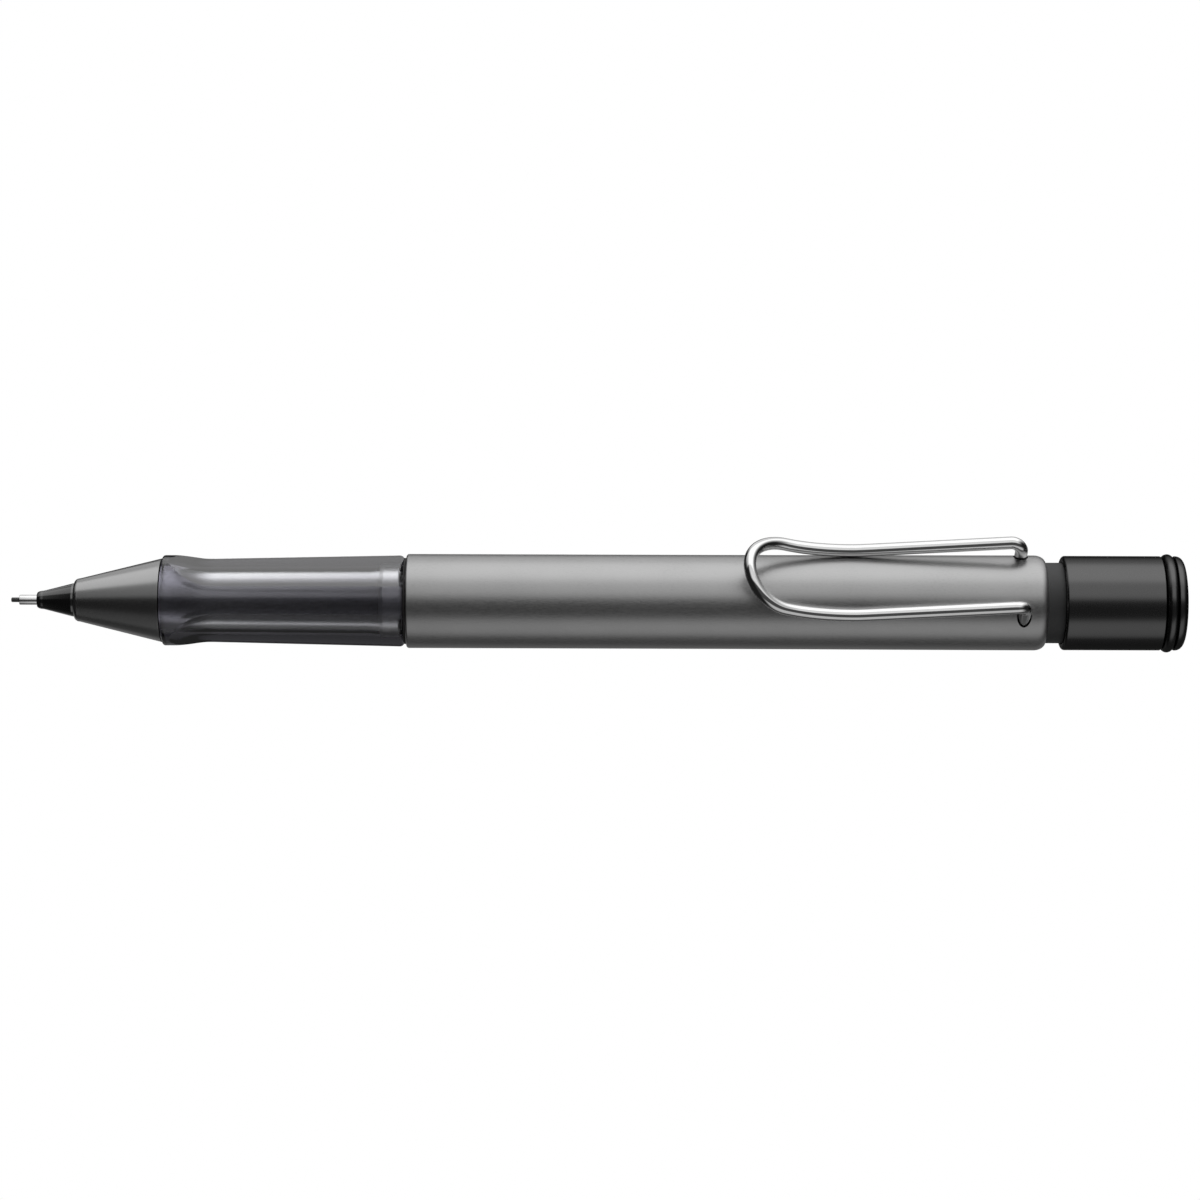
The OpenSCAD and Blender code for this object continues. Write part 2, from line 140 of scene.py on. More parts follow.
def finish_mesh(piece):
    """Merges doubled points, turns the faces outwards and keeps hard edges crisp."""
    mesh = piece.data
    work = bmesh.new()
    work.from_mesh(mesh)
    bmesh.ops.remove_doubles(work, verts=work.verts, dist=DOUBLED)
    bmesh.ops.recalc_face_normals(work, faces=work.faces)
    work.to_mesh(mesh)
    work.free()
    mesh.shade_smooth()
    mesh.set_sharp_from_angle(angle=SHARP)


def ring_solid(rings):
    """Vertices and faces of a solid from a closed loop of rings, each (x, list of (angle, radius))."""
    vertices = [(x, r * math.sin(a), r * math.cos(a)) for x, ring in rings for a, r in ring]
    count = len(rings[0][1])
    faces = []
    for i in range(len(rings)):
        j = (i + 1) % len(rings)
        for k in range(count):
            m = (k + 1) % count
            faces.append((i * count + k, j * count + k, j * count + m, i * count + m))
    return vertices, faces


def lathe(name, outline, material, body, node, segments=SEGMENTS):
    """A turned piece about X from a closed outline of (x, r) points in mm."""
    turns = [2 * math.pi * k / segments for k in range(segments)]
    vertices, faces = ring_solid([(x, [(a, r) for a in turns]) for x, r in outline])
    faces = [f for f in faces if outline[f[0] // segments][1] + outline[f[1] // segments][1] > 0]
    return new_piece(name, vertices, faces, material, body, node)


def sweep(path, radius, sides):
    """Vertices and faces of a round wire along a path, with domed ends."""
    last = len(path) - 1
    tangents = [(path[min(i + 1, last)] - path[max(i - 1, 0)]).normalized() for i in range(last + 1)]
    normal = tangents[0].orthogonal().normalized()
    dome = 4  # rings in each end's dome
    rings = []
    for i, (point, tangent) in enumerate(zip(path, tangents)):
        normal = (normal - normal.dot(tangent) * tangent).normalized()
        side = tangent.cross(normal)
        if i == 0:
            for step in range(dome):
                a = math.pi / 2 * step / dome
                rings.append((point - tangent * radius * math.cos(a), normal, side, radius * math.sin(a)))
        rings.append((point, normal, side, radius))
        if i == last:
            for step in range(dome - 1, -1, -1):
                a = math.pi / 2 * step / dome
                rings.append((point + tangent * radius * math.cos(a), normal, side, radius * math.sin(a)))
    vertices = []
    for centre, n, b, r in rings:
        for k in range(sides):
            a = 2 * math.pi * k / sides
            vertices.append(centre + n * r * math.cos(a) + b * r * math.sin(a))
    faces = []
    for i in range(len(rings) - 1):
        for k in range(sides):
            m = (k + 1) % sides
            faces.append((i * sides + k, i * sides + m, (i + 1) * sides + m, (i + 1) * sides + k))
    return vertices, faces


def cut(piece, cutters):
    """Cuts other objects out of a piece and removes them."""
    for cutter in cutters:
        modifier = piece.modifiers.new("cut", "BOOLEAN")
        modifier.operation = "DIFFERENCE"
        modifier.solver = "EXACT"
        modifier.object = cutter
    bpy.context.view_layer.update()
    graph = bpy.context.evaluated_depsgraph_get()
    made = bpy.data.meshes.new_from_object(piece.evaluated_get(graph))
    piece.modifiers.clear()
    old = piece.data
    piece.data = made
    made.name = old.name
    bpy.data.meshes.remove(old)
    for cutter in cutters:
        bpy.data.objects.remove(cutter)
    finish_mesh(piece)


# ---------------------------------------------------------------- material helpers


def linear(grey, tint=0.0):
    """A linear colour from a display grey of 0 to 1, with blue raised by tint."""

    def channel(v):
        return v / 12.92 if v <= 0.04045 else ((v + 0.055) / 1.055) ** 2.4

    return (channel(grey), channel(grey + tint * 0.4), channel(grey + tint), 1.0)


def smooth_step(tree, value, start, end, height=1.0):
    """A value that goes smoothly from 0 at start to height at end."""
    node = tree.nodes.new("ShaderNodeMapRange")
    node.interpolation_type = "SMOOTHSTEP"
    tree.links.new(value, node.inputs["Value"])
    for key, setting in (("From Min", start), ("From Max", end), ("To Min", 0.0), ("To Max", height)):
        node.inputs[key].default_value = setting
    return node.outputs[0]


def math_node(tree, operation, a, b):
    """The result of a maths node; a and b are sockets or numbers."""
    node = tree.nodes.new("ShaderNodeMath")
    node.operation = operation
    for socket, value in zip(node.inputs, (a, b)):
        if isinstance(value, bpy.types.NodeSocket):
            tree.links.new(value, socket)
        else:
            socket.default_value = value
    return node.outputs[0]


def round_x(tree, direction):
    """A direction without its part along X, at unit length."""
    flat = tree.nodes.new("ShaderNodeVectorMath")
    flat.operation = "MULTIPLY"
    flat.inputs[1].default_value = (0, 1, 1)
    tree.links.new(direction, flat.inputs[0])
    unit = tree.nodes.new("ShaderNodeVectorMath")
    unit.operation = "NORMALIZE"
    tree.links.new(flat.outputs[0], unit.inputs[0])
    return unit.outputs[0]


def near_direction(tree, direction, target, inner, edge, height=1.0):
    """height within inner degrees of a target direction, falling to 0 at edge degrees."""
    dot = tree.nodes.new("ShaderNodeVectorMath")
    dot.operation = "DOT_PRODUCT"
    tree.links.new(direction, dot.inputs[0])
    dot.inputs[1].default_value = target
    start, end = math.cos(math.radians(edge)), math.cos(math.radians(inner))
    return smooth_step(tree, dot.outputs["Value"], start, end, height)


class Graph:
    """A material's node tree, with short calls for the nodes used here."""

    def __init__(self, name):
        self.material = bpy.data.materials.new(name)
        self.material.use_nodes = True
        self.tree = self.material.node_tree
        self.shader = self.tree.nodes["Principled BSDF"]
        self.output = self.tree.nodes["Material Output"]
        self.place = self.add("ShaderNodeTexCoord").outputs["Object"]

    def add(self, kind, settings=None, **inputs):
        """A new node; an input is named with _ for each space in its name."""
        node = self.tree.nodes.new(kind)
        for key, value in (settings or {}).items():
            setattr(node, key, value)
        for key, value in inputs.items():
            self.put(node.inputs[key.replace("_", " ")], value)
        return node

    def put(self, socket, value):
        """Links an output socket to an input, or sets the input to a plain value."""
        if isinstance(value, bpy.types.NodeSocket):
            self.tree.links.new(value, socket)
        else:
            socket.default_value = value

    def set(self, **inputs):
        """Gives values to the main shader's inputs."""
        for key, value in inputs.items():
            self.put(self.shader.inputs[key.replace("_", " ")], value)

    def noise(self, scale, detail=2.0, stretch=(1, 1, 1)):
        """Noise from 0 to 1; scale is in features per metre, stretch multiplies it along X, Y and Z."""
        mapping = self.add("ShaderNodeMapping", Vector=self.place, Scale=Vector(stretch) * scale)
        node = self.add("ShaderNodeTexNoise", Vector=mapping.outputs[0], Scale=1.0, Detail=detail)
        return node.outputs["Fac"]

    def spread(self, value, low, high):
        """Maps noise near the middle of its range to low..high."""
        node = self.add("ShaderNodeMapRange", Value=value, To_Min=low, To_Max=high)
        self.put(node.inputs["From Min"], 0.3)
        self.put(node.inputs["From Max"], 0.7)
        return node.outputs[0]

    def mix(self, factor, a, b):
        """A colour from a at factor 0 to b at factor 1."""
        node = self.add("ShaderNodeMix", {"data_type": "RGBA"})
        self.put(node.inputs[0], factor)
        self.put(node.inputs[6], a)
        self.put(node.inputs[7], b)
        return node.outputs[2]

    def add_up(self, a, b, weight):
        """a + b * weight."""
        node = self.add("ShaderNodeMath", {"operation": "MULTIPLY_ADD"})
        self.put(node.inputs[0], b)
        node.inputs[1].default_value = weight
        self.put(node.inputs[2], a)
        return node.outputs[0]

    def bump(self, height, depth_mm):
        """Gives the surface a fine relief."""
        node = self.add("ShaderNodeBump", Height=height, Distance=depth_mm * MM, Strength=1.0)
        self.set(Normal=node.outputs[0])


METAL_PATCHES, PLASTIC_WAVES, SMOKE_WAVES = 160.0, 220.0, 260.0  # broad variation, in features per metre


def metal(
    name, grey, roughness, grain, grain_mm, depth_mm,
    stretch=(1, 1, 1), tint=0.0, edge=1.0, waves=0.05,
):
    """A metal with a fine grain: grain varies its grey, waves its roughness and depth_mm its relief.

    edge is its brightness at grazing angles.
    """
    g = Graph(name)
    fine = g.noise(1 / (grain_mm * MM), 3.0, stretch)
    broad = g.noise(METAL_PATCHES, 3.0)
    both = g.add_up(fine, broad, 0.35)
    dark = linear(grey - grain, tint)
    light = linear(grey + grain, tint)
    g.set(
        Base_Color=g.mix(g.spread(both, -0.2, 0.9), dark, light),
        Metallic=1.0,
        Roughness=g.spread(fine, roughness - waves, roughness + waves),
        Specular_Tint=(edge, edge, edge, 1),
    )
    g.bump(fine, depth_mm)
    return g


def paint_shade_behind(g, station, dark):
    """Paints shade on a piece: dark and matt behind a station in mm, where no light gets in."""
    along = g.add("ShaderNodeSeparateXYZ", Vector=g.place)
    behind = math_node(g.tree, "GREATER_THAN", along.outputs[0], station * MM)
    for name, value in (("Base Color", dark), ("Roughness", (1.0, 1.0, 1.0, 1))):
        socket = g.shader.inputs[name]
        g.put(socket, g.mix(behind, socket.links[0].from_socket, value))
    return g


def plastic(
    name, grey, roughness, grain_mm, depth_mm,
    tint=0.0, coat=0.0, specular=0.5, ior=1.5,
):
    """A moulded plastic with a fine surface texture and slight waves in its gloss."""
    g = Graph(name)
    fine = g.noise(1 / (grain_mm * MM), 4.0)
    waves = g.noise(PLASTIC_WAVES, 2.0, (0.5, 1, 1))
    dark = linear(grey * 0.9, tint)
    light = linear(grey * 1.1 + 0.004, tint)
    g.set(
        Base_Color=g.mix(g.spread(waves, 0.1, 0.9), dark, light),
        Roughness=g.spread(g.add_up(waves, fine, 0.5), roughness - 0.04, roughness + 0.06),
        Coat_Weight=coat,
        Specular_IOR_Level=specular,
        IOR=ior,
    )
    g.bump(g.add_up(fine, waves, 0.4), depth_mm)
    return g


def on_flats(g):
    """1 on the three flats of the grip and 0 on its ridges, from the direction of the surface round X."""
    facing = round_x(g.tree, g.add("ShaderNodeTexCoord").outputs["Normal"])
    total = 0.0
    for side in range(3):
        middle = THIRD * (side + 0.5) - RIDGE_TURN
        near = near_direction(g.tree, facing, (0, math.sin(middle), math.cos(middle)), 4, 8)
        total = math_node(g.tree, "MAXIMUM", total, near)
    return total


def smoke_material():
    """Clear plastic that absorbs light along its path, with flats polished to a harder gloss."""
    g = Graph("clear_smoke")
    waves = g.noise(SMOKE_WAVES, 2.0, (0.25, 1, 1))
    g.set(
        Base_Color=g.mix(g.spread(waves, 0.0, 1.0), (0.97, 0.97, 0.98, 1), (1.0, 1.0, 1.0, 1)),
        Roughness=0.0,
        IOR=1.49,
        Transmission_Weight=1.0,
        Coat_Weight=on_flats(g),
        Coat_IOR=1.75,
        Coat_Roughness=0.05,
    )
    absorb = g.add("ShaderNodeVolumeAbsorption", Color=(0.235, 0.225, 0.30, 1), Density=520.0)
    g.put(g.output.inputs["Volume"], absorb.outputs[0])
    return g


# grey, roughness, grain, grain size in mm and relief in mm for a metal, and how far its grain is stretched
LOOKS = {
    "anodised": metal("anodised_graphite", 0.68, 0.38, 0.025, 0.16, 0.005, (0.4, 1, 1)),
    # the cone's rear face, seen through the grip, gets painted shade: dark and matt
    "cone": paint_shade_behind(
        metal("dark_turned_metal", 0.71, 0.25, 0.012, 0.12, 0.0005, (1, 0.5, 0.5), waves=0.015),
        span("front_cone")[1] - 0.1, linear(0.12),
    ),
    "liner": metal("liner_metal", 0.95, 0.40, 0.02, 0.15, 0.0002, (0.04, 1, 1), tint=0.01, waves=0.03),
    "chrome": metal("bright_wire", 0.90, 0.08, 0.015, 0.3, 0.0004, (0.3, 1, 1)),
    "steel": metal("drawn_steel", 0.92, 0.16, 0.02, 0.08, 0.0003, (0.2, 1, 1), waves=0.02),
    "brass": metal("turned_brass", 0.78, 0.28, 0.03, 0.1, 0.002, (3, 0.3, 0.3), tint=-0.28),
    "satin_black": metal("satin_black", 0.37, 0.26, 0.01, 0.12, 0.0003, edge=0.3, waves=0.015),
    # grey, roughness, grain size in mm and relief in mm for a plastic
    "gloss_black": plastic("gloss_black_plastic", 0.05, 0.11, 0.5, 0.0004, coat=1.0, ior=2.0),
    "neck_grey": plastic("matt_grey_plastic", 0.24, 0.5, 0.09, 0.006, tint=0.004),
    "black_rubber": plastic("black_rubber", 0.12, 0.55, 0.1, 0.004),
    "white_plastic": plastic("white_plastic", 0.90, 0.4, 0.2, 0.002),
    "eraser": plastic("vinyl_eraser", 0.93, 0.75, 0.15, 0.01),
    "graphite": plastic("fired_graphite", 0.20, 0.42, 0.06, 0.004, specular=0.9),
    "smoke": smoke_material(),
}
MATERIALS = {name: look.material for name, look in LOOKS.items()}

INNER_PIECES = {
    "lead_retainer": "black_rubber", "barrel_insert": "brass", "clutch_sleeve": "white_plastic",
    "lead_tube": "white_plastic", "chuck_connector": "white_plastic", "chuck_shank": "brass",
    "eraser_holder": "white_plastic", "eraser_ferrule": "steel", "eraser": "eraser",
    "clearing_needle": "steel", "spare_leads": "graphite", "chuck_jaw_1": "brass",
    "chuck_jaw_2": "brass", "chuck_jaw_3": "brass", "clutch_ring": "brass",
}
for node, look in INNER_PIECES.items():
    NODES[node].data.materials.clear()
    NODES[node].data.materials.append(MATERIALS[look])


# ---------------------------------------------------------------- point

SLEEVE_SHANK_R, SLEEVE_FLANGE = 0.76, 0.6  # of the guide sleeve in the nose: radius, and flange length
NOSE_SHANK_R, NOSE_SHANK = 1.6, 1.6  # of the nose in the front cone: radius, and length in the cone's seat


def make_lead():
    start, end = span("lead")
    r = outer("lead")
    tip = 0.12
    outline = [(start, 0)] + arc(start + tip, r - tip, tip, tip, 180, 90, 6) + [(end, r), (end, 0)]
    lathe("lead_stick", outline, MATERIALS["graphite"], "lead", "lead", segments=64)


def make_guide_sleeve():
    start, end = span("guide_sleeve")
    hole, tube_r, flange_r = bore("guide_sleeve"), 0.59, outer("guide_sleeve")
    nose_front = span("nose_tip")[0]
    flange = end - SLEEVE_FLANGE
    edge = 0.06
    outline = filleted([
        (start, hole, edge / 2), (start, tube_r, edge), (nose_front, tube_r, 0),
        (nose_front, SLEEVE_SHANK_R, 0), (flange, SLEEVE_SHANK_R, 0),
        (flange, flange_r, edge), (end, flange_r, edge), (end, hole, 0),
    ])
    lathe("guide_sleeve_tube", outline, MATERIALS["steel"], "holder", "guide_sleeve", segments=96)


def make_nose_tip():
    start, end = span("nose_tip")
    base_r = outer("nose_tip")
    cone_start = span("front_cone")[0]
    shoulder, shoulder_r = start + 0.77, 1.1
    face_r = 0.80
    shank = cone_start + 0.6
    flange, flange_r = span("guide_sleeve")[1] - SLEEVE_FLANGE, outer("guide_sleeve")
    pocket, pocket_r = span("lead_retainer")[0], outer("lead_retainer")
    outline = (
        [(start, SLEEVE_SHANK_R), (start, face_r)]
        + arc(shoulder, face_r, shoulder - start, shoulder_r - face_r, 172, 96, 8)
        + filleted([
            (shoulder + 0.05, shoulder_r + 0.012, 0), (cone_start - 0.25, base_r - 0.01, 0.3),
            (shank, base_r, 0), (shank, NOSE_SHANK_R, 0), (end, NOSE_SHANK_R, 0.1), (end, pocket_r, 0),
            (pocket, pocket_r, 0), (pocket, flange_r, 0), (flange, flange_r, 0),
            (flange, SLEEVE_SHANK_R, 0),
        ])
    )
    lathe("nose_tip_body", outline, MATERIALS["gloss_black"], "holder", "nose_tip")


def make_front_cone():
    start, end = span("front_cone")
    rear_r = outer("front_cone")
    lip, lip_r, opening_r = 0.6, 2.58, 2.02
    hollow_r = 2.95
    seat = span("nose_tip")[1] - NOSE_SHANK
    chamber, chamber_r = 10.6, 1.8
    sleeve_seat = span("clutch_sleeve")[0]
    edge = 0.1
    outline = (
        [(seat, NOSE_SHANK_R), (seat, opening_r)]
        + arc(start + lip, opening_r, lip, lip_r - opening_r, 180, 98, 8)
        + filleted([
            (start + lip + 0.06, lip_r + 0.012, 0), (end, rear_r, edge), (end, hollow_r, 0),
            (sleeve_seat, hollow_r, 0), (sleeve_seat, chamber_r, 0), (chamber, chamber_r, 0),
            (chamber, NOSE_SHANK_R, 0),
        ])
    )
    lathe("front_cone_shell", outline, MATERIALS["cone"], "holder", "front_cone")


# ---------------------------------------------------------------- grip

COLLAR_R, WAIST_R, REAR_R = 5.40, 5.06, 5.60  # radii of the ridges
WAIST_START, WAIST_END = 18.5, 22.5  # stations where the collar ends and the waist begins
FLAT_FRONT, FLAT_REAR = 3.85, 4.14  # distances of the flats from the axis
FLAT_START, FLAT_FULL = 18.1, 23.4  # stations where the flats begin and reach their depth
CREASE_WIDTH, CREASE_DROP = 0.02, 0.15  # of the worn edge along each crease: in mm, and as a share of it
ARC_STEPS, FLAT_STEPS = 20, 30  # columns on half a ridge and on a flat
LINER_R, LINER_STEP = 3.55, (42.0, 43.6)  # radius, and where it widens to its rear flange


def ease(t):
    """A smooth step from 0 to 1."""
    t = min(max(t, 0.0), 1.0)
    return t * t * (3 - 2 * t)


def grip_radius(x, end):
    """Radius of the ridges and distance of the flats at a station of the grip, in mm."""
    if x < WAIST_END:
        ridge = COLLAR_R - (COLLAR_R - WAIST_R) * ease((x - WAIST_START) / (WAIST_END - WAIST_START))
    else:
        ridge = WAIST_R + (REAR_R - WAIST_R) * (x - WAIST_END) / (end - WAIST_END)
    if x < FLAT_START:
        flat = COLLAR_R + 2.0 * (FLAT_START - x)
    elif x < FLAT_FULL:
        t = (x - FLAT_START) / (FLAT_FULL - FLAT_START)
        flat = COLLAR_R - (COLLAR_R - FLAT_FRONT) * math.sin(math.pi / 2 * t ** 0.72) ** 2
    else:
        flat = FLAT_FRONT + (FLAT_REAR - FLAT_FRONT) * (x - FLAT_FULL) / (end - FLAT_FULL)
    return ridge, flat


def grip_section(x, end, inset):
    """Ring of (angle, radius) at a station: three ridges and flats, with columns along each crease."""
    ridge, flat = grip_radius(x, end)
    least = math.radians(0.4)  # half angle of a flat that has not begun yet
    half_flat = math.acos(min(flat / ridge, math.cos(least)))
    crease = THIRD / 2 - half_flat  # half angle of a ridge
    fine = min(CREASE_WIDTH / ridge, half_flat / 5)
    ring = []
    for side in range(3):
        middle = THIRD * side - RIDGE_TURN
        inner, outer_edge = crease - 3 * fine, crease + 3 * fine
        for k in range(-ARC_STEPS, ARC_STEPS + 1):
            ring.append((middle + inner * k / ARC_STEPS, ridge))
        turns = [crease - fine, crease, crease + fine]
        turns += [outer_edge + (THIRD - 2 * outer_edge) * k / FLAT_STEPS for k in range(FLAT_STEPS + 1)]
        turns += [THIRD - crease - fine, THIRD - crease, THIRD - crease + fine]
        for turn in turns:
            ring.append((middle + turn, min(ridge, flat / math.cos(THIRD / 2 - turn))))
        for k in (-len(turns) + 1, -2):
            ring[k] = (ring[k][0], ring[k][1] - CREASE_DROP * fine * ridge)
    return [(a, r - inset) for a, r in ring]


def make_grip():
    start, end = span("grip")
    front_round, rear_round = 0.3, 0.6
    steps, round_steps = 200, 10
    rings = []
    for i in range(round_steps):
        a = math.pi / 2 * i / round_steps
        x = start + front_round * (1 - math.cos(a))
        rings.append((x, grip_section(x, end, front_round * (1 - math.sin(a)))))
    for i in range(steps + 1):
        x = start + front_round + (end - rear_round - start - front_round) * i / steps
        rings.append((x, grip_section(x, end, 0.0)))
    for i in range(1, round_steps + 1):
        a = math.pi / 2 * i / round_steps
        x = end - rear_round * (1 - math.sin(a))
        rings.append((x, grip_section(x, end, rear_round * (1 - math.cos(a)))))
    wetted = 0.02  # overlap with the flange, so that no film of air lies between them
    bore_r, flange_r = LINER_R + 0.05, outer("grip_liner") - wetted
    step_start, step_end = LINER_STEP
    for x, r in ((end, flange_r), (step_end, flange_r), (step_start, bore_r), (start, bore_r)):
        rings.append((x, [(a, r) for a, _ in rings[-1][1]]))
    vertices, faces = ring_solid(rings)
    new_piece("grip_body", vertices, faces, MATERIALS["smoke"], "holder", "grip")


def make_liner():
    start, end = span("grip_liner")
    neck_r, flange_r, spigot_r, hole = 2.9, outer("grip_liner"), 3.3, bore("grip_liner")
    shoulder = span("grip")[0]
    step_start, step_end = LINER_STEP
    flange_rear = 45.5
    outline = filleted([
        (start, hole, 0), (start, neck_r, 0.1), (shoulder, neck_r, 0), (shoulder, LINER_R, 0.1),
        (step_start, LINER_R, 0), (step_end, flange_r, 0.1), (flange_rear, flange_r, 0.15),
        (flange_rear, spigot_r, 0.1), (end, spigot_r, 0.1), (end, hole, 0),
    ])
    lathe("grip_liner_tube", outline, MATERIALS["liner"], "holder", "grip_liner")


def make_joint_ring():
    start, end = span("joint_ring")
    r, hole = outer("joint_ring"), bore("joint_ring")
    outline = filleted([(start, hole, 0), (start, r, 0.08), (end, r, 0.08), (end, hole, 0)], 3)
    lathe("joint_ring_band", outline, MATERIALS["black_rubber"], "holder", "joint_ring")


# ---------------------------------------------------------------- barrel and clip

CLIP_STATION, HOLE_OFFSET, HOLE_R = 119.5, 4.08, 0.875  # of the two holes that take the clip
BARREL_R, SWELL_STATION = 5.62, 84.0  # straight front part of the barrel, and its end
REAR_EDGE = 1.3  # length of the barrel's rounded rear edge


def swell(x):
    """Radius of the barrel where it widens towards its rear edge, in mm."""
    widest = span("barrel")[1] - REAR_EDGE
    return BARREL_R + (outer("barrel") - BARREL_R) * (x - SWELL_STATION) / (widest - SWELL_STATION)


def make_barrel():
    start, end = span("barrel")
    r, hole = outer("barrel"), bore("barrel")
    front_edge, bore_edge = 0.3, 0.1
    before_holes = CLIP_STATION - 2.2
    outline = (
        [(start + bore_edge, hole), (start, hole + bore_edge)]
        + arc(start + front_edge, BARREL_R - front_edge, front_edge, front_edge, 180, 90, 8)
        + [(SWELL_STATION, BARREL_R)] + [(x, swell(x)) for x in (before_holes, CLIP_STATION)]
        + arc(end - REAR_EDGE, hole, REAR_EDGE, r - hole, 90, 0, 14)
        + [(CLIP_STATION, hole), (before_holes, hole)]
    )
    piece = lathe("barrel_tube", outline, MATERIALS["anodised"], "holder", "barrel", segments=256)
    drill_length, drill_middle = 6.0, 4.0
    cutters = []
    for side in (-1, 1):
        bpy.ops.mesh.primitive_cylinder_add(
            vertices=96, radius=HOLE_R * MM, depth=drill_length * MM,
            location=(CLIP_STATION * MM, side * HOLE_OFFSET * MM, drill_middle * MM),
        )
        cutters.append(bpy.context.object)
    cut(piece, cutters)


def make_neck():
    start, end = span("neck_bush")
    hole, neck_r, inner_r = bore("neck_bush"), 4.815, outer("neck_bush")
    step = 120.9
    outline = filleted([
        (start, hole, 0), (start, inner_r, 0.1), (step, inner_r, 0), (step, neck_r, 0),
        (end, neck_r, 0.3), (end, hole, 0.1),
    ])
    piece = lathe("neck_bush_body", outline, MATERIALS["neck_grey"], "holder", "neck_bush")
    pocket_size, pocket_middle = Vector((2.6, 1.6, 5.6)), 3.4
    cutters = []
    for side in (-1, 1):
        bpy.ops.mesh.primitive_cube_add(
            size=1.0, location=(CLIP_STATION * MM, side * HOLE_OFFSET * MM, pocket_middle * MM),
            scale=pocket_size * MM,
        )
        cutters.append(bpy.context.object)
    cut(piece, cutters)


def clip_path():
    """Centreline of the clip wire from one leg round the front loop to the other, in mm."""
    low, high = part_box("clip")
    wire_r = high.x / MM - CLIP_STATION
    loop_front = low.x / MM + wire_r
    half_width = 4.43  # from the middle plane to each arm's centreline
    touch = CLIP_STATION - 20  # where the arms rest on the barrel
    contact_gap = 0.02
    touch_z = math.sqrt((swell(touch) + wire_r + contact_gap) ** 2 - half_width ** 2)
    loop_run = touch - loop_front
    upturn, slope, slope_start = 4.1, 0.107, 0.8
    loop_steps, arm_steps, bend_steps = 40, 60, 14
    bend_r = 1.3
    bend_start = CLIP_STATION - bend_r

    def height(x):
        """Height of the centreline: an upturn before the resting place and a slow rise behind it."""
        v = max(x - touch, 0.0)
        t = max(touch - x, 0.0) / loop_run
        return touch_z + upturn * (0.667 * t ** 2 + 0.333 * t ** 4) + slope * v ** 2 / (v + slope_start)

    centre = loop_front + half_width
    half = []
    for i in range(loop_steps + 1):
        a = math.pi / 2 * i / loop_steps
        x = centre - half_width * math.cos(a)
        half.append(Vector((x, half_width * math.sin(a), height(x))))
    for i in range(1, arm_steps + 1):
        x = centre + (bend_start - centre) * i / arm_steps
        half.append(Vector((x, half_width, height(x))))
    bend_z = height(bend_start) - bend_r
    for i in range(1, bend_steps + 1):
        a = math.pi / 2 * i / bend_steps
        y = half_width + (HOLE_OFFSET - half_width) * ease(i / bend_steps)
        half.append(Vector((bend_start + bend_r * math.sin(a), y, bend_z + bend_r * math.cos(a))))
    leg_end = low.z / MM + wire_r * 0.6
    half.append(Vector((CLIP_STATION, HOLE_OFFSET, leg_end)))
    mirrored = [Vector((p.x, -p.y, p.z)) for p in reversed(half)]
    return mirrored + half[1:], wire_r


def make_clip():
    path, wire_r = clip_path()
    vertices, faces = sweep(path, wire_r, 40)
    new_piece("clip_wire", vertices, faces, MATERIALS["chrome"], "clip", "clip")


# ---------------------------------------------------------------- push button and its spring

STEM_R = 4.2  # of the end disc's stem, which fills the skirt's rear end


def make_button():
    start, end = span("button")
    r = outer("button")
    skirt_r, socket_r = 4.9, 3.2
    floor, socket_end = 130.2, 134.8
    outline = filleted([
        (start, skirt_r, 0.12), (start, r, 0.4), (end, r, 0.16), (end, STEM_R, 0),
        (socket_end, STEM_R, 0), (socket_end, socket_r, 0), (floor, socket_r, 0.1), (floor, skirt_r, 0.2),
    ], 7)
    lathe("button_skirt", outline, MATERIALS["satin_black"], "cap", "button")


def make_button_ring():
    start, end = span("button_ring")
    half = (end - start) / 2
    hole = bore("button_ring")
    bead = arc(start + half, outer("button_ring") - half, half, half, 180, 0, 24)
    outline = [(start, hole)] + bead + [(end, hole)]
    lathe("button_bead", outline, MATERIALS["satin_black"], "cap", "button_ring")


def make_button_plug():
    start, end = span("button_plug")
    r, disc = outer("button_plug"), 137.88
    outline = filleted([
        (start, 0, 0), (start, STEM_R, 0.1), (disc, STEM_R, 0), (disc, r, 0.14), (end, r, 0.9),
        (end, 0, 0),
    ], 9)
    lathe("button_end_disc", outline, MATERIALS["satin_black"], "cap", "button_plug")


def make_spring():
    start, end = span("return_spring")
    wire_r = 0.15
    coil_r = outer("return_spring") - wire_r
    ground, turns, steps = 1.25, 9, 28  # closed turns at each end, open turns, and points in a turn
    rise = 2 * wire_r * 1.05  # of a closed turn
    first, last = start + wire_r, end - wire_r
    active = (last - first - 2 * ground * rise) / turns
    path = []
    for i in range(int((turns + 2 * ground) * steps) + 1):
        t = i / steps
        closed = min(t, ground) + max(t - ground - turns, 0.0)
        opened = min(max(t - ground, 0.0), turns)
        x = first + closed * rise + opened * active
        a = 2 * math.pi * t
        path.append(Vector((x, coil_r * math.cos(a), coil_r * math.sin(a))))
    vertices, faces = sweep(path, wire_r, 12)
    piece = new_piece("return_spring_coil", vertices, faces, MATERIALS["steel"], "holder", "return_spring")
    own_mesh(piece)


make_lead()
make_guide_sleeve()
make_nose_tip()
make_front_cone()
make_grip()
make_liner()
make_joint_ring()
make_barrel()
make_neck()
make_clip()
make_button()
make_button_ring()
make_button_plug()
make_spring()


# ---------------------------------------------------------------- light, floor and camera

VIEW = Vector((0, -0.5, math.sqrt(0.75)))  # from the holder towards the camera
UP = Vector((0, math.sqrt(0.75), 0.5))  # up in the picture
AMBIENT = 0.014  # light from everywhere
SHADE, SHADE_REACH = 0.12, 0.045  # brightness of the painted shade on the floor, and its half width in metres


def lamp_direction(angle):
    """Unit vector at an angle from the camera direction towards the top of the picture, in degrees."""
    a = math.radians(angle)
    return VIEW * math.cos(a) + UP * math.sin(a)


